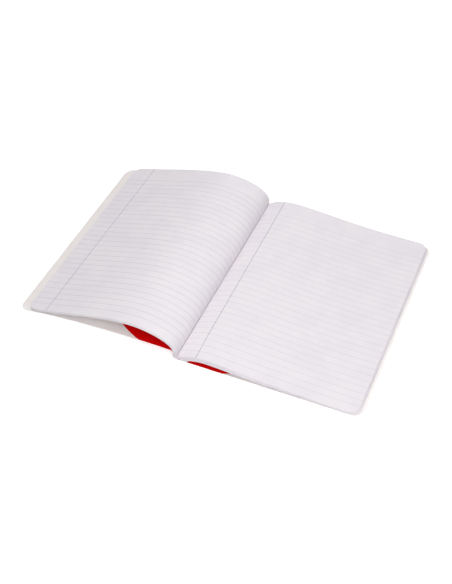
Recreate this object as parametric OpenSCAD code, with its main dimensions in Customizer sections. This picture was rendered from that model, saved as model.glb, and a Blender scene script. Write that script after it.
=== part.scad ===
// Open composition notebook, lying on a table and opened at its middle leaves.
// The table is the plane Z = 0, and the origin lies on it, under the middle of the book.
// The fold runs along Y, and the top edges of the leaves face +Y.
// The left half stands up from the fold in a high arch, and the right half lies nearly flat.
// Outlines are drawn in the plane across the fold, as [distance from the fold, height],
// and both halves are drawn outwards from the fold.

/* [Leaves] */
// Width of a leaf, from the fold to its outer edge
page_w = 190.5; // [160:0.5:220]
// Height of a leaf, along the fold
page_h = 247.65; // [180:0.05:300]
// Number of leaves in the book, half of them on each side of the fold
leaf_count = 80; // [48:4:112]
// Thickness of one leaf
leaf_t = 0.075; // [0.06:0.005:0.1]
// Radius of the outer corners of the leaves
corner_r = 9.5; // [4:0.5:16]
// How far the lowest leaf reaches past the top one at the outer edge
fan_reach = 1.8; // [0.4:0.2:3.2]
// Number of bundles that the outer edge steps through
fan_steps = 8; // [2:1:10]

/* [Left half] */
// Distance of the crest from the fold
left_crest_x = 47; // [38:0.5:55]
// Height of the crest above the fold
left_rise = 30; // [26:0.2:38]
// Angle at which the top leaf leaves the fold, over 90 where it overhangs the right half
left_lean = 107; // [95:1:110]
// Slope of the leaves at their outer edge
left_fall = 11; // [8:0.5:18]
// Air between the lowest leaf and the cover at the outer edge
left_gap = 0.6; // [0.4:0.1:2]
// Curve handles at the fold, the crest inwards, the crest outwards and the edge, as shares of each chord
left_pull = [0.39, 0.33, 0.26, 0.33]; // [0.15:0.01:0.45]

/* [Right half] */
// Distance of the crest from the fold
right_crest_x = 32; // [28:0.5:45]
// Height of the crest above the fold
right_rise = 10.5; // [8:0.1:14]
// Angle at which the top leaf leaves the fold
right_lean = 44; // [36:1:50]
// Air between the lowest leaf and the cover at the outer edge
right_gap = 0.45; // [0.35:0.05:1]
// Curve handles at the fold, the crest inwards, the crest outwards and the edge, as shares of each chord
right_pull = [0.27, 0.36, 0.2, 0.58]; // [0.15:0.01:0.65]

/* [Cover] */
// Thickness of the cover card
cover_t = 0.45; // [0.3:0.05:0.8]
// Width of the back cover, from its crease to its outer edge
back_w = 188; // [160:0.5:220]
// Width of the front cover, from its crease to its outer edge
front_w = 183; // [160:0.5:220]
// Radius of the outer corners of the covers
cover_corner_r = 10; // [4:0.5:16]
// Height of the front cover's crease above the table
crease_z = 8.2; // [7.6:0.1:12]
// Distance of the back cover's crease from the fold
back_crease_x = 3.8; // [3.5:0.1:8]
// Free play on each side of a crease, so that the covers turn
crease_gap = 0.3; // [0.26:0.02:0.5]
// Radius of the bend where the front cover turns away from the standing leaves
bend_r = 3; // [2:0.25:5]
// Upward slope of the front cover just past its bend
front_climb = 1.8; // [0:0.2:6]
// Downward slope of the front cover at its outer edge
front_fall = 11; // [8:0.2:14]
// Curve handles of the front cover's arch at the bend and at the outer edge, as shares of its chord
front_pull = [0.27, 0.31]; // [0.2:0.01:0.4]

/* [Sewing] */
// Thickness of the thread
thread_d = 0.44; // [0.3:0.02:0.6]
// Length of one stitch
stitch = 10; // [6:0.5:16]
// Distance of the first and last needle holes from the ends of the fold, at the least
sewing_margin = 12; // [6:0.5:30]
// Play of the thread in its needle holes and in its groove
thread_gap = 0.12; // [0.08:0.01:0.2]

/* [Hidden] */
paper_colour = [0.93, 0.93, 0.95];
thread_colour = [0.88, 0.88, 0.9];
card_colour = [0.94, 0.93, 0.91];
// Faces round a corner and round the thread, and steps along the curves
arc_fn = 64;
thread_fn = 16;
gutter_n = 16;
crease_n = 8;
curve_n = 20;
// Rounds of halving that find where a width is used up
solve_n = 22;
// Play of the leaves inside the cover's spine, and how far a cutter reaches past what it cuts
spine_gap = 0.1;
overcut = 1;

// Stack of leaves on one side, and the gutter's place above the table
stack_t = leaf_count / 2 * leaf_t;
fold_r = stack_t + spine_gap;
fold_z = cover_t + fold_r;
fold = [0, fold_z];
// Lean of the needle from upright, and half the angle of the gutter's valley
sew_tilt = (left_lean - right_lean) / 2;
valley = 90 - (left_lean + right_lean) / 2;

// Points and directions in the plane across the fold
function along(a) = [cos(a), sin(a)];
function below(a) = [sin(a), -cos(a)];
function mirrored(points) = [for (p = points) [-p[0], p[1]]];
function reversed(points) = [for (i = [len(points) - 1 : -1 : 0]) points[i]];
function run(points, i = 1) = i >= len(points) ? 0 : norm(points[i] - points[i - 1]) + run(points, i + 1);

// Curve from p0 to p1 that leaves at angle a0 and arrives at angle a1: its four control points
function bend(p0, a0, pull0, p1, a1, pull1) =
    [p0, p0 + norm(p1 - p0) * pull0 * along(a0), p1 - norm(p1 - p0) * pull1 * along(a1), p1];
function at(c, t) =
    pow(1 - t, 3) * c[0] + 3 * pow(1 - t, 2) * t * c[1] + 3 * (1 - t) * t * t * c[2] + pow(t, 3) * c[3];
function heading(c, t) =
    pow(1 - t, 2) * (c[1] - c[0]) + 2 * (1 - t) * t * (c[2] - c[1]) + t * t * (c[3] - c[2]);
function angle(v) = atan2(v[1], v[0]);
// The curve set off downwards by d, with its first point left out where it follows another curve
function trace(c, d, first = 0) =
    [for (i = [first : curve_n]) at(c, i / curve_n) + d * below(angle(heading(c, i / curve_n)))];

// Front cover: a short bend at its crease, then one long arch down to the table
crease = [fold_r + cover_t / 2, crease_z];
bend_centre = crease + [bend_r, crease_gap];
arch_start = bend_centre + bend_r * along(90 + front_climb);
bend_run = bend_r * (90 - front_climb) * PI / 180;
function arch(reach) =
    bend(arch_start, front_climb, front_pull[0], [reach, cover_t / 2], -front_fall, front_pull[1]);
// The outer edge lies where the cover's width is used up
function solve_arch(low, high, n) =
    n == 0 ? (low + high) / 2
    : bend_run + run(trace(arch((low + high) / 2), 0)) + crease_gap > front_w
        ? solve_arch(low, (low + high) / 2, n - 1)
        : solve_arch((low + high) / 2, high, n - 1);
front_reach = solve_arch(arch_start[0], front_w + crease[0], solve_n);
front_arch = arch(front_reach);
front_top = trace(front_arch, -cover_t / 2);
function front_top_z(x) = lookup(x, front_top);

// A half of the leaves: the top leaf's two curves, from the fold to the crest and from there outwards
function inner(lean, crest, pull) = bend(fold, lean, pull[0], crest, 0, pull[1]);
function outer(crest, edge, fall, pull) = bend(crest, 0, pull[2], edge, -fall, pull[3]);
left_crest = [left_crest_x, fold_z + left_rise];
right_crest = [right_crest_x, fold_z + right_rise];
left_inner = inner(left_lean, left_crest, left_pull);
right_inner = inner(right_lean, right_crest, right_pull);
function left_edge(x) = [x, front_top_z(x) + left_gap + stack_t / cos(left_fall)];
function right_edge(x) = [x, cover_t + right_gap + stack_t];
function left_outer(x) = outer(left_crest, left_edge(x), left_fall, left_pull);
function right_outer(x) = outer(right_crest, right_edge(x), 0, right_pull);
// The outer edge of the top leaf lies where the leaf's width is used up
function solve_left(low, high, n) =
    n == 0 ? (low + high) / 2
    : run(trace(left_inner, 0)) + run(trace(left_outer((low + high) / 2), 0)) > page_w
        ? solve_left(low, (low + high) / 2, n - 1)
        : solve_left((low + high) / 2, high, n - 1);
function solve_right(low, high, n) =
    n == 0 ? (low + high) / 2
    : run(trace(right_inner, 0)) + run(trace(right_outer((low + high) / 2), 0)) > page_w
        ? solve_right(low, (low + high) / 2, n - 1)
        : solve_right((low + high) / 2, high, n - 1);
left_x = solve_left(left_crest_x, page_w, solve_n);
right_x = solve_right(right_crest_x, page_w, solve_n);

// Depth of bundle i under the top leaf, and how far it reaches past that leaf
function depth(i) = stack_t * i / fan_steps;
function reach(i) = fan_reach * i / (fan_steps - 1);
function fan_corner(edge, slope, i, k) = edge + depth(i + k) * below(slope) + reach(i) * along(slope);
function fan(edge, slope) =
    [for (i = [0 : fan_steps - 1], k = [i == 0 ? 1 : 0 : 1]) fan_corner(edge, slope, i, k)];
// Outline of a half: out along the top leaf, down the fanned edge and back under the lowest leaf
function half(inner_curve, outer_curve, slope) = concat(
    trace(inner_curve, 0),
    trace(outer_curve, 0, 1),
    fan(outer_curve[3], slope),
    reversed(trace(outer_curve, stack_t, 1)),
    reversed(trace(inner_curve, stack_t))
);
left_half = mirrored(half(left_inner, left_outer(left_x), -left_fall));
right_half = half(right_inner, right_outer(right_x), 0);
// Leaves bent round the gutter, from under the right half to under the left one
bent_sweep = left_lean + right_lean;
bent_leaves =
    [for (i = [1 : gutter_n - 1]) fold + stack_t * along(right_lean - 90 - i * bent_sweep / gutter_n)];
left_half_past_fold = [for (i = [1 : len(left_half) - 1]) left_half[i]];
leaves_outline = concat(right_half, bent_leaves, reversed(left_half_past_fold));

// Moves a piece from the drawing, with the fold at X = 0 and the bottom edges at Y = 0, to its place
back_reach = back_crease_x + back_w;
front_outer = front_reach + cover_t / 2 * sin(front_fall);
module set_down() {
    translate([(front_outer - back_reach) / 2, -page_h / 2, 0])
        children();
}

// Prism along the fold from an outline in the plane across it
module along_fold() {
    translate([0, page_h, 0])
        rotate([90, 0, 0])
            linear_extrude(height = page_h)
                children();
}

// Cutter that rounds two outer corners, where the edge slants from its top point to its low point
module corner_cutter(top, low, r) {
    slant = atan2(low[0] - top[0], top[1] - low[1]);
    // Far enough up and down to pass both faces of leaves that slope away from the edge
    past = 2 * r;
    height = norm(top - low) + 2 * past;
    for (end = [0, 1])
        translate([top[0], end * page_h, top[1]])
            rotate([0, -slant, 0])
                mirror([0, end, 0])
                    translate([-r, 0, past - height])
                        difference() {
                            translate([0, -overcut, overcut])
                                cube([r + overcut, r + overcut, height - 2 * overcut]);
                            translate([0, r, 0])
                                cylinder(r = r, h = height, $fn = arc_fn);
                        }
}

// The sewn gathering of ruled leaves, opened at its middle
module page_block() {
    color(paper_colour)
        set_down()
            difference() {
                along_fold()
                    polygon(leaves_outline);
                fore_edge_corners();
                needle_holes();
            }
}

module fore_edge_corners() {
    left_top = left_edge(left_x);
    left_low = left_top + stack_t * below(-left_fall) + fan_reach * along(-left_fall);
    right_top = right_edge(right_x);
    right_low = right_top + [fan_reach, -stack_t];
    corner_cutter(right_top, right_low, corner_r);
    mirror([1, 0, 0])
        corner_cutter(left_top, left_low, corner_r);
}

// Sewing: the needle goes through the fold in line with the gutter's valley
hole_count = floor((page_h - 2 * sewing_margin) / stitch) + 1;
sewing_run = (hole_count - 1) * stitch;
sewing_y = (page_h - sewing_run) / 2;
hole_r = thread_d / 2 + thread_gap;
upper_run_z = hole_r / sin(valley);
lower_run_z = hole_r - stack_t;
// The leaves squeeze the thread a little where it passes through them
leg_d = 0.8 * thread_d;
module at_needle() {
    translate([0, 0, fold_z])
        rotate([0, sew_tilt, 0])
            children();
}

module needle_holes() {
    low_z = -stack_t - overcut;
    at_needle() {
        for (i = [0 : hole_count - 1])
            translate([0, sewing_y + i * stitch, low_z])
                cylinder(r = hole_r, h = upper_run_z - low_z, $fn = thread_fn);
        translate([-hole_r, sewing_y - hole_r, low_z])
            cube([2 * hole_r, sewing_run + 2 * hole_r, 2 * hole_r + overcut]);
    }
}

// One thread: a run in the gutter, a run under the fold, and a leg through every needle hole
module binding_thread() {
    color(thread_colour)
        set_down()
            at_needle() {
                for (z = [upper_run_z, lower_run_z])
                    translate([0, sewing_y + sewing_run, z])
                        rotate([90, 0, 0])
                            cylinder(d = thread_d, h = sewing_run, $fn = thread_fn);
                for (i = [0 : hole_count - 1])
                    translate([0, sewing_y + i * stitch, lower_run_z])
                        cylinder(d = leg_d, h = upper_run_z - lower_run_z, $fn = thread_fn);
            }
}

// Strip of the cover between its creases: flat under the fold, then up against the standing leaves
module cover_spine() {
    outer_r = fold_r + cover_t;
    color(card_colour)
        set_down()
            along_fold() {
                square([back_crease_x - crease_gap, cover_t]);
                translate([-outer_r, fold_z])
                    square([cover_t, crease_z - crease_gap - fold_z]);
                intersection() {
                    translate([-outer_r, 0])
                        square([outer_r, fold_z]);
                    translate(fold)
                        difference() {
                            circle(r = outer_r, $fn = arc_fn);
                            circle(r = fold_r, $fn = arc_fn);
                        }
                }
            }
}

// Front cover, which leaves its crease upwards, bends over and arches down to the table
module front_cover() {
    edge = front_arch[3];
    half_t = cover_t / 2;
    bend_steps = [for (i = [0 : crease_n]) 180 + i * (front_climb - 90) / crease_n];
    outline = concat(
        [for (a = bend_steps) bend_centre + (bend_r + half_t) * along(a)],
        trace(front_arch, -half_t, 1),
        reversed(trace(front_arch, half_t, 1)),
        [for (a = reversed(bend_steps)) bend_centre + (bend_r - half_t) * along(a)]
    );
    color(card_colour)
        set_down()
            mirror([1, 0, 0])
                difference() {
                    along_fold()
                        polygon(outline);
                    corner_cutter(
                        edge - half_t * below(-front_fall),
                        edge + half_t * below(-front_fall),
                        cover_corner_r
                    );
                }
}

// Back cover, flat on the table
module back_cover() {
    start = back_crease_x + crease_gap;
    color(card_colour)
        set_down()
            difference() {
                translate([start, 0, 0])
                    cube([back_reach - start, page_h, cover_t]);
                corner_cutter([back_reach, cover_t], [back_reach, 0], cover_corner_r);
            }
}

page_block();
binding_thread();
cover_spine();
front_cover();
back_cover();
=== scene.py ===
"""Open composition notebook: ruled leaves, sewing thread and a printed card cover.

Profiles are drawn in millimetres in the plane across the fold, as (distance from the fold, height),
and both halves are drawn outwards from the fold. Meshes are made in metres. Every mesh of the
sheets and the cover carries a UV map named "flat", which holds each point's place on the flattened
sheet, in metres: the distance from the fold, negative on the left, and the height along it from the middle.
"""

import math

import bmesh
import bpy
import numpy as np
from mathutils import Matrix, Vector


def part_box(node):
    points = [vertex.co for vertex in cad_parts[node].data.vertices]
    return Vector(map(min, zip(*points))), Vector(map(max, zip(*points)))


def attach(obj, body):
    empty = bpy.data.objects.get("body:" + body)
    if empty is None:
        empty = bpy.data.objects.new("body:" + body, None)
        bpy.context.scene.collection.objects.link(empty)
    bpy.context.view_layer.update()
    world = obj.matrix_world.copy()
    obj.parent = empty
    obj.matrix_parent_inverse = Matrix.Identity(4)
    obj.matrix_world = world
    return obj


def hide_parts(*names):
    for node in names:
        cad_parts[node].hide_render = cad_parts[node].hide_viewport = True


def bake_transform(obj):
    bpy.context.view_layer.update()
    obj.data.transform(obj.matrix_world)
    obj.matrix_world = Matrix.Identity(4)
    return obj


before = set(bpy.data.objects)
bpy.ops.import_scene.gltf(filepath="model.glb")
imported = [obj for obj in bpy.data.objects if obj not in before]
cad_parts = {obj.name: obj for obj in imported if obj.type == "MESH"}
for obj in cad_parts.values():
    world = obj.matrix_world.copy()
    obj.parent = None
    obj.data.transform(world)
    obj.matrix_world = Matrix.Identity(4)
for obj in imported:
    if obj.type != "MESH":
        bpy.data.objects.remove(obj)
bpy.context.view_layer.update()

MM = 0.001

# Leaves, as in the part's source
PAGE_W, PAGE_H = 190.5, 247.65
SHEETS = 40
STACK_T = 3.0
SHEET_T = STACK_T / SHEETS
LEAF_CORNER_R = 9.5
COVER_T = 0.45
SPINE_GAP = 0.1
FOLD_R = STACK_T + SPINE_GAP
FOLD_Z = COVER_T + FOLD_R

# Cover, as in the part's source
BACK_CREASE_X, BACK_W = 3.8, 188.0
FRONT_W = 183.0
CREASE_Z, CREASE_GAP = 8.2, 0.3
BEND_R = 3.0
FRONT_CLIMB, FRONT_FALL = 1.8, 11.0
FRONT_PULLS = (0.27, 0.31)
COVER_CORNER_R = 10.0

# Thread, as in the part's source
THREAD_D, THREAD_GAP = 0.44, 0.12
STITCH = 10.0
HOLE_COUNT = 23
SEWING_HALF = STITCH * (HOLE_COUNT - 1) / 2

# Place of the fold in the frame: the spine strip starts one radius and one card outside it
FOLD_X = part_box("cover_spine")[0].x / MM + FOLD_R + COVER_T


def add_object(name, data):
    added = bpy.data.objects.new(name, data)
    bpy.context.scene.collection.objects.link(added)
    return added


# The camera that the photograph was taken with, fitted to its rules, margins and outlines

PHOTO_W, PHOTO_H = 452, 584
FOCAL_PX = 952.3
SENSOR_MM = 36.0
CAMERA_AT = (304.15, -650.6, 726.4)
CAMERA_YAW, CAMERA_PITCH, CAMERA_ROLL = -25.41, 46.16, -2.6
NEAREST, FURTHEST = 0.05, 20


def add_camera():
    """Yaw turns from +Y towards +X, pitch looks down, and roll turns about the line of sight."""
    yaw, pitch, roll = (math.radians(a) for a in (CAMERA_YAW, CAMERA_PITCH, CAMERA_ROLL))
    forward = Vector((math.sin(yaw) * math.cos(pitch), math.cos(yaw) * math.cos(pitch), -math.sin(pitch)))
    level = Vector((math.cos(yaw), -math.sin(yaw), 0))
    upright = level.cross(forward)
    right = math.cos(roll) * level + math.sin(roll) * upright
    up = math.cos(roll) * upright - math.sin(roll) * level
    data = bpy.data.cameras.new("camera")
    data.sensor_width = SENSOR_MM
    data.lens = SENSOR_MM * FOCAL_PX / max(PHOTO_W, PHOTO_H)
    data.clip_start, data.clip_end = NEAREST, FURTHEST
    camera = add_object("camera", data)
    axes = Matrix((right, up, -forward)).transposed().to_4x4()
    camera.matrix_world = Matrix.Translation(Vector(CAMERA_AT) * MM) @ axes
    bpy.context.scene.camera = camera


# Curves in the plane across the fold

CURVE_N, ARC_N = 400, 24
SOLVE_ROUNDS = 40


def along(degrees):
    a = np.radians(degrees)
    return np.array([np.cos(a), np.sin(a)])


def bend(start, start_angle, start_pull, end, end_angle, end_pull):
    """Points of a curve that leaves start at one angle and arrives at end at another."""
    a, d = np.array(start, float), np.array(end, float)
    chord = np.linalg.norm(d - a)
    b = a + chord * start_pull * along(start_angle)
    c = d - chord * end_pull * along(end_angle)
    t = np.linspace(0, 1, CURVE_N)[:, None]
    return (1 - t) ** 3 * a + 3 * (1 - t) ** 2 * t * b + 3 * (1 - t) * t * t * c + t**3 * d


def arc(centre, radius, first, last):
    return np.array([centre + radius * along(a) for a in np.linspace(first, last, ARC_N)])


def length(points):
    return np.linalg.norm(np.diff(points, axis=0), axis=1).sum()


def solve(length_at, wanted, low, high):
    """The reach between low and high at which a curve has the wanted length."""
    for _ in range(SOLVE_ROUNDS):
        middle = (low + high) / 2
        if length_at(middle) > wanted:
            high = middle
        else:
            low = middle
    return (low + high) / 2


class Path:
    """A polyline that is followed by distance, and goes on straight past its end."""

    def __init__(self, *pieces):
        self.points = np.vstack([pieces[0]] + [p[1:] for p in pieces[1:]])
        steps = np.diff(self.points, axis=0)
        self.run = np.concatenate([[0], np.cumsum(np.linalg.norm(steps, axis=1))])
        self.total = self.run[-1]
        headings = np.unwrap(np.arctan2(steps[:, 1], steps[:, 0]))
        self.heading = np.interp(self.run, (self.run[1:] + self.run[:-1]) / 2, headings)

    def at(self, s, below):
        """Points at distances s, set off downwards from the path."""
        held = np.clip(s, 0, self.total)
        heading = np.interp(held, self.run, self.heading)
        ahead = np.stack([np.cos(heading), np.sin(heading)], -1)
        down = np.stack([np.sin(heading), -np.cos(heading)], -1)
        base = np.stack([np.interp(held, self.run, self.points[:, i]) for i in (0, 1)], -1)
        return base + (s - held)[..., None] * ahead + below[..., None] * down


def front_cover_curves():
    """Middle of the card from under the fold to its bend, and its arch down to the table."""
    r = FOLD_R + COVER_T / 2
    bend_centre = np.array([r + BEND_R, CREASE_Z + CREASE_GAP])
    under = arc(np.array([0, FOLD_Z]), r, -90, 0)
    turn = arc(bend_centre, BEND_R, 180, 90 + FRONT_CLIMB)
    turned = CREASE_GAP + math.radians(90 - FRONT_CLIMB) * BEND_R

    def arch(reach):
        edge = (reach, COVER_T / 2)
        return bend(turn[-1], FRONT_CLIMB, FRONT_PULLS[0], edge, -FRONT_FALL, FRONT_PULLS[1])

    reach = solve(lambda x: turned + length(arch(x)), FRONT_W, turn[-1][0], FRONT_W + r)
    return np.vstack([under, turn]), arch(reach)


FRONT_START, FRONT_ARCH = front_cover_curves()
FRONT_PATH = Path(FRONT_START, FRONT_ARCH)
BACK_PATH = Path(np.array([[0, COVER_T / 2], [BACK_CREASE_X + BACK_W, COVER_T / 2]]))


class Half:
    """One half of the open leaves: its side, and the top leaf's path from the fold to its edge.

    The path leaves the fold at the angle lean, passes over its crest and comes down at the angle
    fall to its edge. The lower leaves hang loose: by fan close to the fold, and by air over the
    rest of the arch. Droop is how far the whole arch sinks at its lower end. Short is what the
    top leaf lacks in width, and slant how much further out the lowest leaf reaches.
    """

    def __init__(self, sign, lean, crest, pulls, fall, edge_height, fan, air, droop, short, slant):
        self.sign, self.lean = sign, lean
        self.fan, self.air, self.droop = fan, air, droop
        self.short, self.slant = short, slant
        top = (crest[0], FOLD_Z + crest[1])
        inner = bend((0, FOLD_Z), lean, pulls[0], top, 0, pulls[1])

        def outer(x):
            return bend(top, 0, pulls[2], (x, edge_height(x)), -fall, pulls[3])

        edge_x = solve(lambda x: length(inner) + length(outer(x)), PAGE_W, top[0], PAGE_W)
        self.path = Path(inner, outer(edge_x))


LEFT_FALL, LEFT_GAP, RIGHT_GAP = 11.0, 0.6, 0.45


def left_edge_height(x):
    cover_top = np.interp(x, FRONT_ARCH[:, 0], FRONT_ARCH[:, 1]) + COVER_T / 2
    return cover_top + LEFT_GAP + STACK_T / math.cos(math.radians(LEFT_FALL))


def right_edge_height(x):
    return COVER_T + RIGHT_GAP + STACK_T


LEFT = Half(
    sign=-1, lean=107, crest=(47, 30), pulls=(0.39, 0.33, 0.26, 0.33), fall=LEFT_FALL,
    edge_height=left_edge_height, fan=0.6, air=0.3, droop=0, short=0, slant=1.8,
)
RIGHT = Half(
    sign=1, lean=44, crest=(32, 10.5), pulls=(0.27, 0.36, 0.2, 0.58), fall=0,
    edge_height=right_edge_height, fan=3.8, air=2.5, droop=1.6, short=0.8, slant=2.1,
)


# Grids of points over a sheet, by distance from the fold and height along it

CORNER_COLUMNS = 8


def smooth(x, low, high):
    t = np.clip((x - low) / (high - low), 0, 1)
    return t * t * (3 - 2 * t)


def columns(reach, corner_r, count, crowding):
    """Distances from the fold, crowded near it and round the outer corners."""
    straight = (reach - corner_r) * np.linspace(0, 1, count) ** crowding
    turned = reach - corner_r + corner_r * np.sin(np.linspace(0, np.pi / 2, CORNER_COLUMNS + 1)[1:])
    return np.concatenate([straight, turned])[:, None]


def heights(s, reach, corner_r, inset, rows):
    """Places along the fold for each column, closer together inside the rounded corners."""
    into = np.clip((s - (reach - corner_r)) / corner_r, 0, 1)
    half = PAGE_H / 2 - inset - corner_r * (1 - np.sqrt(1 - into**2))
    return half * np.linspace(-1, 1, rows)[None, :]


def placed(across, sign, y):
    """Points of the plane across the fold as points of the frame, in metres."""
    return np.stack([FOLD_X + sign * across[..., 0], y, across[..., 1]], -1) * MM


def flattened(sign, s, y):
    return np.stack([sign * s, y], -1) * MM


WAVE_COUNT = 5
WAVE_ACROSS, WAVE_UP = (55, 140), (-200, 200)
WAVE_RISE = (8, 60)


def waves(s, y, seed):
    """A slight cockle between -1 and 1, fading out at the fold."""
    rng = np.random.default_rng(seed)
    total = np.zeros(s.shape)
    for _ in range(WAVE_COUNT):
        across, up, start = rng.uniform(*WAVE_ACROSS), rng.uniform(*WAVE_UP), rng.uniform()
        total += np.sin(2 * np.pi * (s / across + y / up + start))
    return total / WAVE_COUNT * smooth(s, *WAVE_RISE)


# Meshes from stacked levels: a full grid on top, rims between, and a full grid below

def ring(grid):
    """The border of a grid, once round."""
    return np.concatenate([grid[:, 0], grid[-1, 1:], grid[-2::-1, -1], grid[0, -2:0:-1]])


def stacked(name, levels, top_uv, bottom_uv, rim_uv):
    """A closed mesh through levels of points, whose first and last are whole faces."""
    top, bottom = levels[0], levels[-1]
    shape = top.shape[:2]
    rims = [ring(g) for g in levels[1:-1]]
    points = np.vstack([top.reshape(-1, 3), bottom.reshape(-1, 3), *rims])
    index = np.arange(shape[0] * shape[1]).reshape(shape)
    border = ring(index[..., None])[:, 0]
    around = len(border)
    first_rim = 2 * index.size
    rings = [border]
    rings += [first_rim + i * around + np.arange(around) for i in range(len(rims))]
    rings += [index.size + border]
    quads = np.stack([index[:-1, :-1], index[1:, :-1], index[1:, 1:], index[:-1, 1:]], -1).reshape(-1, 4)
    below = quads[:, ::-1] + index.size
    sides = [np.stack([a, b, np.roll(b, -1), np.roll(a, -1)], -1) for a, b in zip(rings, rings[1:])]
    faces = np.vstack([quads, below, *sides])
    side_uv = ring(rim_uv)
    side_quads = np.stack([side_uv, side_uv, np.roll(side_uv, -1, 0), np.roll(side_uv, -1, 0)], 1)
    corner_uv = np.concatenate([
        top_uv.reshape(-1, 2)[quads],
        bottom_uv.reshape(-1, 2)[below - index.size],
        *[side_quads] * len(sides),
    ])
    return mesh_object(name, points, faces, corner_uv)


SMOOTH_UNDER = 35.0


def mesh_object(name, points, faces, corner_uv):
    """A shown mesh with smooth faces and sharp rims, its normals turned outwards."""
    mesh = bpy.data.meshes.new(name)
    mesh.from_pydata(points.tolist(), [], faces.tolist())
    layer = mesh.uv_layers.new(name="flat")
    layer.data.foreach_set("uv", corner_uv.astype(np.float32).ravel())
    cleaned = bmesh.new()
    cleaned.from_mesh(mesh)
    bmesh.ops.recalc_face_normals(cleaned, faces=cleaned.faces)
    cleaned.to_mesh(mesh)
    cleaned.free()
    mesh.polygons.foreach_set("use_smooth", [True] * len(mesh.polygons))
    mesh.set_sharp_from_angle(angle=math.radians(SMOOTH_UNDER))
    return add_object(name, mesh)


# Sheets of paper, folded and nested round the gutter

GUTTER_COLUMNS = 9
FOLD_ROUND = 0.05
WAVE_HEIGHT = 0.16
WAVE_SEED = 3
LEAF_CROWDING = 1.25
LEAF_ROWS = 48
LEAF_GAP = 0.05
# The lower run of thread pinches the fold by its own thickness, less past the sewing's ends
PINCH = (THREAD_D + 2 * THREAD_GAP) / STACK_T
PINCH_WIDTH = 9
PINCH_ENDS = (SEWING_HALF + 1, SEWING_HALF + 8)
# Distances from the fold at which the lower leaves' air, droop and fan come and go
ARCH_RISE = (0, 12)
AIR_FALL, DROOP_FALL = (60, 155), (40, 135)
FAN_RISE, FAN_FALL = (0, 3), (5, 15)
# Height along the fold where the droop sets in, towards the lower end
DROOP_FROM = 95


def pinched(depth, s, y):
    """Depth under the top leaf, squeezed near the fold along the sewing."""
    sewn = 1 - smooth(np.abs(y), *PINCH_ENDS)
    near = 1 - smooth(s, 0, PINCH_WIDTH)
    return depth * (1 - PINCH * sewn * near)


def between(s, rise, fall):
    """A share that rises from 0 to 1 over one stretch and falls back over another."""
    return smooth(s, *rise) * (1 - smooth(s, *fall))


def loose(half, s):
    """How far the lowest leaf of a half hangs below its place in the pressed gathering."""
    return half.air * between(s, ARCH_RISE, AIR_FALL) + half.fan * between(s, FAN_RISE, FAN_FALL)


def leaf_level(depth, side_columns, slip=0.0, trim=0.0, air=0.0):
    """A surface through both halves at one depth: its points and their flat places.

    Slip draws the outer edges in, trim the top and bottom edges, and air is the share of the
    loose leaves' air that lies above this surface. It comes no lower than where it lies on the
    leaves and the cover under it.
    """
    sides = []
    for half in (LEFT, RIGHT):
        reach = PAGE_W - half.short + half.slant * depth / STACK_T - slip
        s = columns(reach, LEAF_CORNER_R, side_columns, LEAF_CROWDING)
        y = heights(s, reach, LEAF_CORNER_R, trim, LEAF_ROWS)
        s = np.broadcast_to(s, y.shape)
        ripple = WAVE_HEIGHT * waves(s, y, WAVE_SEED + half.sign)
        across = half.path.at(s, pinched(depth, s, y) + air * loose(half, s) + ripple)
        lower_end = smooth(-y, DROOP_FROM, PAGE_H / 2)
        across[..., 1] -= half.droop * between(s, ARCH_RISE, DROOP_FALL) * lower_end
        across[..., 1] = np.maximum(across[..., 1], COVER_T + LEAF_GAP + STACK_T - depth)
        sides.append((placed(across, half.sign, y), flattened(half.sign, s, y)))
    turn = np.radians(np.linspace(270 - LEFT.lean, 270 + RIGHT.lean, GUTTER_COLUMNS))[:, None]
    y = np.broadcast_to((PAGE_H / 2 - trim) * np.linspace(-1, 1, LEAF_ROWS), (GUTTER_COLUMNS, LEAF_ROWS))
    radius = FOLD_ROUND + pinched(depth, 0, y)
    across = np.stack([radius * np.cos(turn), FOLD_Z + radius * np.sin(turn)], -1)
    (left, left_uv), (right, right_uv) = sides
    points = np.concatenate([left[:0:-1], placed(across, 1, y), right[1:]])
    flat = np.concatenate([left_uv[:0:-1], flattened(1, 0 * y, y), right_uv[1:]])
    return points, flat


OTHER_SIDE = np.array([-1, 1])
# Cut edges take a flat place far off the sheet, where nothing is printed
UNPRINTED = np.array([1.0, 1.0])
SPREAD_COLUMNS, STACK_COLUMNS = 100, 72
# Depths in sheets: the innermost sheet's own, the stack's top, and each sheet's two rims and groove
SPREAD_DEPTH, STACK_DEPTH = 0.9, 1.5
RIM_DEPTHS, GROOVE_DEPTH = (0.2, 0.85), 1.02
# How far single sheets' edges are out of line, and the grooves and gaps between them
EDGE_SLIP, EDGE_TRIM = 0.07, 0.05
SLIP_GROOVE, TRIM_GROOVE, GAP = 0.12, 0.02, 0.25
BUNDLE, BUNDLE_TRIM = 8, 0.08
STACK_SEED = 11


def open_spread():
    """The innermost sheet, whose two ruled pages face up."""
    top, flat = leaf_level(0, SPREAD_COLUMNS)
    bottom, under = leaf_level(SPREAD_DEPTH * SHEET_T, SPREAD_COLUMNS)
    return stacked("open_spread", [top, bottom], flat, under * OTHER_SIDE, flat + UNPRINTED)


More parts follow.
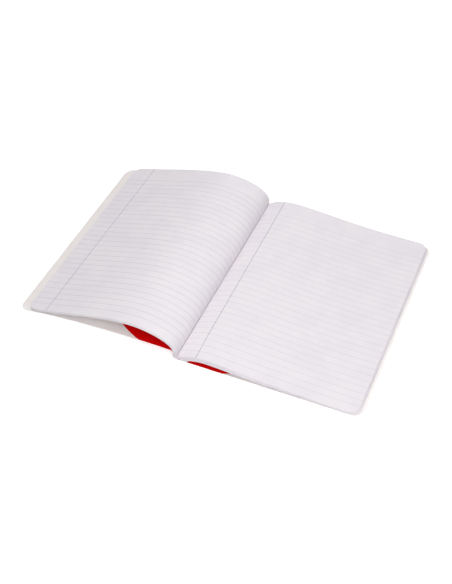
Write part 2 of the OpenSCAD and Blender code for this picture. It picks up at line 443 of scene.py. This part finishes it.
def leaf_stack():
    """All lower sheets as one closed block, with grooves between them and gaps between bundles."""
    rng = np.random.default_rng(STACK_SEED)
    gaps = SHEETS // BUNDLE - 1

    def level(sheet, slip, trim, gap):
        return leaf_level(sheet * SHEET_T, STACK_COLUMNS, slip, trim, gap / gaps)

    first, flat = level(STACK_DEPTH, SLIP_GROOVE, TRIM_GROOVE, 0)
    levels = [first]
    for k in range(1, SHEETS):
        bundle = k // BUNDLE
        slip = rng.uniform(0, EDGE_SLIP)
        trim = rng.uniform(0, EDGE_TRIM) + BUNDLE_TRIM * (bundle % 2)
        levels += [level(k + rim, slip, trim, bundle)[0] for rim in RIM_DEPTHS]
        if (k + 1) % BUNDLE:
            levels.append(level(k + GROOVE_DEPTH, slip + SLIP_GROOVE, trim + TRIM_GROOVE, bundle)[0])
        elif k < SHEETS - 1:
            levels += [level(k + 1, GAP, GAP, b)[0] for b in (bundle, bundle + 1)]
    last, under = level(SHEETS, SLIP_GROOVE / 2, TRIM_GROOVE / 2, gaps)
    levels.append(last)
    return stacked("leaf_stack", levels, flat, under * OTHER_SIDE, flat + UNPRINTED)


# Cover card

CARD_COLUMNS, CARD_ROWS = 90, 40
CARD_CROWDING = 1.5
CARD_EDGE_ROUND = 0.09
SCORE_DEPTH, SCORE_HALF = 0.1, 0.45


def card(name, sign, path, crease_at):
    """One side of the cover with its half of the spine, and a scored line at the crease."""
    levels = []
    face_flat = None
    for depth, inset in (
        (-COVER_T / 2, CARD_EDGE_ROUND),
        (-COVER_T / 2 + CARD_EDGE_ROUND, 0),
        (COVER_T / 2 - CARD_EDGE_ROUND, 0),
        (COVER_T / 2, CARD_EDGE_ROUND),
    ):
        s = columns(path.total - inset, COVER_CORNER_R, CARD_COLUMNS, CARD_CROWDING)
        y = heights(s, path.total - inset, COVER_CORNER_R, inset, CARD_ROWS)
        s = np.broadcast_to(s, y.shape)
        score = SCORE_DEPTH * np.exp(-(((s - crease_at) / SCORE_HALF) ** 2))
        levels.append(placed(path.at(s, depth - np.sign(depth) * score), sign, y))
        if face_flat is None:
            face_flat = flattened(sign, s, y)
    return stacked(name, levels, face_flat, face_flat, face_flat + UNPRINTED)


# Sewing thread

TILT = (LEFT.lean - RIGHT.lean) / 2
VALLEY = 90 - (LEFT.lean + RIGHT.lean) / 2
UPPER_RUN = (THREAD_D / 2 + THREAD_GAP) / math.sin(math.radians(VALLEY))
LOWER_RUN = THREAD_D / 2 + THREAD_GAP - STACK_T
THREAD_SIDES = 12
THREAD_STEP = 0.4
PLIES = 2
TWIST_LENGTH, TWIST_DEPTH = 1.6, 0.14
DIP, DIP_HALF = 0.34, 0.9
LEG_SHARE, LEG_RINGS = 0.8, 6


def tube(points, side, radii):
    """Rings round a line of points that stays square to one side vector, closed at both ends."""
    ahead = np.gradient(points, axis=0)
    ahead /= np.linalg.norm(ahead, axis=1)[:, None]
    normal = np.cross(ahead, side)
    turn = np.linspace(0, 2 * np.pi, THREAD_SIDES, endpoint=False)
    rings = (
        points[:, None]
        + radii[..., None] * np.cos(turn)[None, :, None] * np.array(side)
        + radii[..., None] * np.sin(turn)[None, :, None] * normal[:, None]
    )
    n = len(points)
    index = np.arange(n * THREAD_SIDES).reshape(n, THREAD_SIDES)
    after = np.roll(index, -1, 1)
    quads = np.stack([index[:-1], after[:-1], after[1:], index[1:]], -1).reshape(-1, 4).tolist()
    return rings.reshape(-1, 3), quads + [index[0].tolist(), index[-1].tolist()]


def sewing_thread():
    """An upper run in the gutter, a lower run under the fold, and a leg through every hole."""
    tilt = math.radians(TILT)
    needle = np.array([math.sin(tilt), 0, math.cos(tilt)])
    side = np.array([math.cos(tilt), 0, -math.sin(tilt)])
    turn = np.linspace(0, 2 * np.pi, THREAD_SIDES, endpoint=False)
    origin = np.array([FOLD_X, 0, FOLD_Z])

    def twisted(y, height, radius):
        phase = PLIES * (turn[None, :] - 2 * np.pi * y[:, None] / TWIST_LENGTH)
        lobes = 1 - TWIST_DEPTH + TWIST_DEPTH * np.cos(phase)
        line = origin + y[:, None] * np.array([0, 1, 0]) + height[:, None] * needle
        return tube(line * MM, side, radius * lobes * MM)

    y = np.arange(-SEWING_HALF, SEWING_HALF + THREAD_STEP / 2, THREAD_STEP)
    from_hole = (y + SEWING_HALF + STITCH / 2) % STITCH - STITCH / 2
    dip = DIP * np.exp(-((from_hole / DIP_HALF) ** 2))
    parts = [
        twisted(y, UPPER_RUN - dip, THREAD_D / 2),
        twisted(y, LOWER_RUN + dip, THREAD_D / 2),
    ]
    for i in range(HOLE_COUNT):
        hole = origin + np.array([0, i * STITCH - SEWING_HALF, 0])
        ends = hole + np.array([[LOWER_RUN + DIP], [UPPER_RUN - DIP]]) * needle
        line = np.linspace(ends[0], ends[1], LEG_RINGS)
        radii = np.full((LEG_RINGS, 1), LEG_SHARE * THREAD_D / 2 * MM)
        parts.append(tube(line * MM, np.array([0.0, 1, 0]), radii))
    points, faces = [], []
    for part_points, part_faces in parts:
        start = len(points)
        points += part_points.tolist()
        faces += [[start + i for i in f] for f in part_faces]
    mesh = bpy.data.meshes.new("sewing_thread")
    mesh.from_pydata(points, [], faces)
    mesh.polygons.foreach_set("use_smooth", [True] * len(mesh.polygons))
    return add_object("sewing_thread", mesh)


# Materials

def srgb(r, g, b):
    """A colour given in display levels, as the linear colour that Blender works in."""
    levels = [c / 255 for c in (r, g, b)]
    return [c / 12.92 if c <= 0.04045 else ((c + 0.055) / 1.055) ** 2.4 for c in levels] + [1.0]


class Shader:
    """One material's nodes, with plain calls for sums, masks, noise and mixes."""

    def __init__(self, name):
        self.material = bpy.data.materials.new(name)
        self.material.use_nodes = True
        self.nodes = self.material.node_tree.nodes
        self.links = self.material.node_tree.links
        self.bsdf = self.nodes["Principled BSDF"]
        flat = self.nodes.new("ShaderNodeUVMap")
        flat.uv_map = "flat"
        place = self.nodes.new("ShaderNodeSeparateXYZ")
        self.links.new(flat.outputs[0], place.inputs[0])
        self.across, self.up = place.outputs[0], place.outputs[1]
        self.object = self.nodes.new("ShaderNodeTexCoord").outputs["Object"]

    def put(self, value, socket):
        if isinstance(value, bpy.types.NodeSocket):
            self.links.new(value, socket)
        else:
            socket.default_value = value

    def math(self, operation, *values):
        node = self.nodes.new("ShaderNodeMath")
        node.operation = operation
        for value, socket in zip(values, node.inputs):
            self.put(value, socket)
        return node.outputs[0]

    def fade(self, value, low, high, low_out=0.0, high_out=1.0):
        """A smooth step from low_out at low to high_out at high."""
        node = self.nodes.new("ShaderNodeMapRange")
        node.interpolation_type = "SMOOTHSTEP"
        for value, socket in zip((value, low, high, low_out, high_out), node.inputs):
            self.put(value, socket)
        return node.outputs[0]

    def noise(self, scale, detail, roughness):
        node = self.nodes.new("ShaderNodeTexNoise")
        self.put(self.object, node.inputs["Vector"])
        node.inputs["Scale"].default_value = scale
        node.inputs["Detail"].default_value = detail
        node.inputs["Roughness"].default_value = roughness
        return node.outputs[0]

    def mix(self, share, a, b):
        node = self.nodes.new("ShaderNodeMix")
        node.data_type = "RGBA"
        for value, name in ((share, "Factor_Float"), (a, "A_Color"), (b, "B_Color")):
            self.put(value, next(s for s in node.inputs if s.identifier == name))
        return next(s for s in node.outputs if s.identifier == "Result_Color")

    def bump(self, height, strength, distance):
        node = self.nodes.new("ShaderNodeBump")
        self.put(height, node.inputs["Height"])
        node.inputs["Strength"].default_value = strength
        node.inputs["Distance"].default_value = distance
        return node.outputs[0]

    def finish(self, **sockets):
        for name, value in sockets.items():
            self.put(value, self.bsdf.inputs[name.replace("_", " ")])
        return self.material


# Where the soft clouds of a sheet and its single fibres set in, as levels of their noise
CLOUD_RANGE, FIBRE_RANGE = (0.35, 0.65), (0.55, 0.8)

# Ruling of a page, measured on the photograph. It was printed a little askew, and differently on
# the two pages: for each side the last rule's height, its slope, the margin's distance and its slope
RULE_COUNT = 28
RULE_PITCH = 7.9375
LEFT_RULING = (10.8, 0.0101, -166.2, 0.011)
RIGHT_RULING = (9.5, 0.0014, 23.1, -0.0069)
RULE_WIDTH, MARGIN_WIDTH = 0.28, 0.42
LINE_SOFT = 0.12
RIGHT_INK = 0.7
PAPER_SHADES, PAPER_FIBRE = (srgb(236, 231, 237), srgb(240, 235, 239)), srgb(228, 225, 230)
RULE_INK, MARGIN_INK = srgb(174, 175, 190), srgb(128, 118, 162)


def paper():
    s = Shader("paper")
    on_right = s.math("GREATER_THAN", s.across, 0.0)
    last_up, rule_slope, margin_at, margin_slope = (
        s.math("MULTIPLY_ADD", on_right, right - left, left)
        for left, right in zip(LEFT_RULING, RIGHT_RULING)
    )
    across, up = (s.math("MULTIPLY", place, 1 / MM) for place in (s.across, s.up))
    from_middle = s.math("SUBTRACT", across, s.math("MULTIPLY_ADD", on_right, PAGE_W, -PAGE_W / 2))
    from_bottom = s.math("ADD", up, PAGE_H / 2)
    last_rule = s.math("MULTIPLY_ADD", rule_slope, from_middle, last_up)
    row = s.math("DIVIDE", s.math("SUBTRACT", from_bottom, last_rule), RULE_PITCH)
    off_row = s.math("ABSOLUTE", s.math("SUBTRACT", row, s.math("ROUND", row)))
    near = s.math("MULTIPLY", off_row, RULE_PITCH)
    line = s.fade(near, RULE_WIDTH / 2 - LINE_SOFT, RULE_WIDTH / 2 + LINE_SOFT, 1.0, 0.0)
    ruled = s.math("MULTIPLY", s.math("GREATER_THAN", row, -0.5), s.math("LESS_THAN", row, RULE_COUNT - 0.5))
    strength = s.math("MULTIPLY_ADD", on_right, RIGHT_INK - 1, 1.0)
    rules = s.math("MULTIPLY", s.math("MULTIPLY", line, ruled), strength)
    from_margin = s.math("SUBTRACT", across, s.math("MULTIPLY_ADD", margin_slope, up, margin_at))
    near_margin = s.math("ABSOLUTE", from_margin)
    margin = s.fade(near_margin, MARGIN_WIDTH / 2 - LINE_SOFT, MARGIN_WIDTH / 2 + LINE_SOFT, 1.0, 0.0)
    ink = s.fade(s.noise(900.0, 2.0, 0.5), 0.3, 0.6, 0.7, 1.0)
    cloud = s.noise(35.0, 4.0, 0.6)
    fibre = s.noise(2600.0, 3.0, 0.7)
    sheet = s.mix(s.fade(cloud, *CLOUD_RANGE), *PAPER_SHADES)
    sheet = s.mix(s.fade(fibre, *FIBRE_RANGE, 0.0, 0.35), sheet, PAPER_FIBRE)
    sheet = s.mix(s.math("MULTIPLY", rules, ink), sheet, RULE_INK)
    sheet = s.mix(s.math("MULTIPLY", margin, ink), sheet, MARGIN_INK)
    tooth = s.math("ADD", s.math("MULTIPLY", fibre, 0.5), s.noise(700.0, 3.0, 0.6))
    return s.finish(
        Base_Color=sheet,
        Roughness=s.fade(cloud, 0.3, 0.7, 0.62, 0.74),
        Specular_IOR_Level=0.25,
        Normal=s.bump(tooth, 0.25, 0.00005),
    )


# Red field printed on both faces of the cover: a round that runs off the top and bottom edges
FIELD_R = 133.3
FIELD_SOFT = 0.16
WHITE_SHADES, WHITE_FIBRE = (srgb(246, 240, 238), srgb(249, 244, 242)), srgb(236, 229, 226)
RED_SHADES = (srgb(222, 2, 3), srgb(208, 0, 2))


def card_stock():
    s = Shader("card_stock")
    squares = s.math("ADD", s.math("POWER", s.across, 2.0), s.math("POWER", s.up, 2.0))
    out = s.math("MULTIPLY", s.math("SQRT", squares), 1 / MM)
    field = s.fade(out, FIELD_R - FIELD_SOFT, FIELD_R + FIELD_SOFT, 1.0, 0.0)
    cloud = s.noise(60.0, 4.0, 0.6)
    fibre = s.noise(1800.0, 4.0, 0.7)
    white = s.mix(s.fade(cloud, *CLOUD_RANGE), *WHITE_SHADES)
    white = s.mix(s.fade(fibre, *FIBRE_RANGE, 0.0, 0.4), white, WHITE_FIBRE)
    red = s.mix(s.fade(fibre, 0.4, 0.75), *RED_SHADES)
    tooth = s.math("ADD", fibre, s.noise(500.0, 3.0, 0.6))
    return s.finish(
        Base_Color=s.mix(field, white, red),
        Roughness=s.fade(field, 0.0, 1.0, 0.55, 0.4),
        Specular_IOR_Level=s.fade(field, 0.0, 1.0, 0.3, 0.08),
        Normal=s.bump(tooth, 0.2, 0.00006),
    )


COTTON_SHADES = (srgb(232, 230, 228), srgb(205, 202, 204))


def cotton():
    s = Shader("cotton")
    plies = s.noise(3000.0, 3.0, 0.7)
    return s.finish(
        Base_Color=s.mix(s.fade(plies, 0.35, 0.7), *COTTON_SHADES),
        Roughness=0.85,
        Sheen_Weight=0.3,
        Normal=s.bump(plies, 0.5, 0.00005),
    )


# Stage

FLOOR_HALF = 3.0
FLOOR_DROP = 0.0002


def shown_white(tree):
    """1 for the rays that show a background: from the camera, in gloss and through glass."""
    rays = tree.nodes.new("ShaderNodeLightPath")
    share = rays.outputs["Is Camera Ray"]
    for name in ("Is Glossy Ray", "Is Transmission Ray"):
        node = tree.nodes.new("ShaderNodeMath")
        node.operation = "MAXIMUM"
        tree.links.new(share, node.inputs[0])
        tree.links.new(rays.outputs[name], node.inputs[1])
        share = node.outputs[0]
    return share


FLOOR_SHADE = (0.8, 0.8, 0.8, 1)
FLOOR_GLOW = 0.66
FLOOR_NEAR_FAR = (0.4, 1.2)


def add_floor():
    """A pale floor that keeps the object's shadow and shows white around it.

    Its glow makes up for the light that it lacks, and rises to full white away from the object.
    """
    mesh = bpy.data.meshes.new("floor")
    signs = ((-1, -1), (1, -1), (1, 1), (-1, 1))
    corners = [(x * FLOOR_HALF, y * FLOOR_HALF, -FLOOR_DROP) for x, y in signs]
    mesh.from_pydata(corners, [], [(0, 1, 2, 3)])
    floor = add_object("floor", mesh)
    material = bpy.data.materials.new("floor")
    material.use_nodes = True
    tree = material.node_tree
    tree.nodes.clear()
    plain = tree.nodes.new("ShaderNodeBsdfDiffuse")
    plain.inputs["Color"].default_value = FLOOR_SHADE
    glow = tree.nodes.new("ShaderNodeEmission")
    place = tree.nodes.new("ShaderNodeTexCoord")
    away = tree.nodes.new("ShaderNodeVectorMath")
    away.operation = "LENGTH"
    tree.links.new(place.outputs["Object"], away.inputs[0])
    rise = tree.nodes.new("ShaderNodeMapRange")
    tree.links.new(away.outputs["Value"], rise.inputs[0])
    for value, socket in zip((*FLOOR_NEAR_FAR, FLOOR_GLOW, 1.0), rise.inputs[1:5]):
        socket.default_value = value
    strength = tree.nodes.new("ShaderNodeMath")
    strength.operation = "MULTIPLY"
    tree.links.new(shown_white(tree), strength.inputs[0])
    tree.links.new(rise.outputs[0], strength.inputs[1])
    tree.links.new(strength.outputs[0], glow.inputs["Strength"])
    total = tree.nodes.new("ShaderNodeAddShader")
    output = tree.nodes.new("ShaderNodeOutputMaterial")
    tree.links.new(plain.outputs[0], total.inputs[0])
    tree.links.new(glow.outputs[0], total.inputs[1])
    tree.links.new(total.outputs[0], output.inputs["Surface"])
    mesh.materials.append(material)


SKY_LIGHT = 0.01


def add_world():
    world = bpy.data.worlds.new("studio")
    bpy.context.scene.world = world
    world.use_nodes = True
    tree = world.node_tree
    background = tree.nodes["Background"]
    background.inputs["Color"].default_value = (1, 1, 1, 1)
    strength = tree.nodes.new("ShaderNodeMath")
    strength.operation = "MULTIPLY_ADD"
    strength.inputs[1].default_value = 1 - SKY_LIGHT
    strength.inputs[2].default_value = SKY_LIGHT
    tree.links.new(shown_white(tree), strength.inputs[0])
    tree.links.new(strength.outputs[0], background.inputs["Strength"])


SOFTBOX_SIZE = 0.8
SOFTBOXES = (
    ("top", (0.0, 0.0, 1.3), 5.2),
    ("front", (0.0, -0.9, 1.0), 5.2),
    ("right", (0.8, -0.8, 0.7), 7.6),
    ("back", (0.0, 0.95, 0.95), 4.9),
    ("left", (-0.95, 0.0, 0.95), 1.8),
)


def add_softbox(name, place, watts):
    """A square lamp that faces the middle of the book."""
    data = bpy.data.lights.new(name, "AREA")
    data.shape = "SQUARE"
    data.size = SOFTBOX_SIZE
    data.energy = watts
    lamp = add_object(name, data)
    lamp.location = place
    lamp.rotation_euler = (-Vector(place)).to_track_quat("-Z", "Y").to_euler()


# The scene

add_camera()

spread = open_spread()
stack = leaf_stack()
thread = sewing_thread()
quarter_turn = math.pi / 2 * (FOLD_R + COVER_T / 2)
front = card("front_card", -1, FRONT_PATH, quarter_turn + CREASE_Z - FOLD_Z)
back = card("back_card", 1, BACK_PATH, BACK_CREASE_X)

paper_material, card_material, cotton_material = paper(), card_stock(), cotton()
for piece, material, slot in (
    (spread, paper_material, "paper"),
    (stack, paper_material, "paper"),
    (thread, cotton_material, "thread"),
    (front, card_material, "card"),
    (back, card_material, "card"),
):
    piece.data.materials.append(material)
for piece in (spread, stack, thread):
    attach(piece, "book")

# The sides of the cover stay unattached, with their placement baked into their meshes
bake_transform(front)
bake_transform(back)

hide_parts("page_block")
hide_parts("page_block")
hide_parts("binding_thread")
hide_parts("front_cover", "cover_spine")
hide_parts("back_cover", "cover_spine")

add_floor()
add_world()
for name, place, watts in SOFTBOXES:
    add_softbox(name, place, watts)

bpy.context.scene.view_settings.view_transform = "Standard"
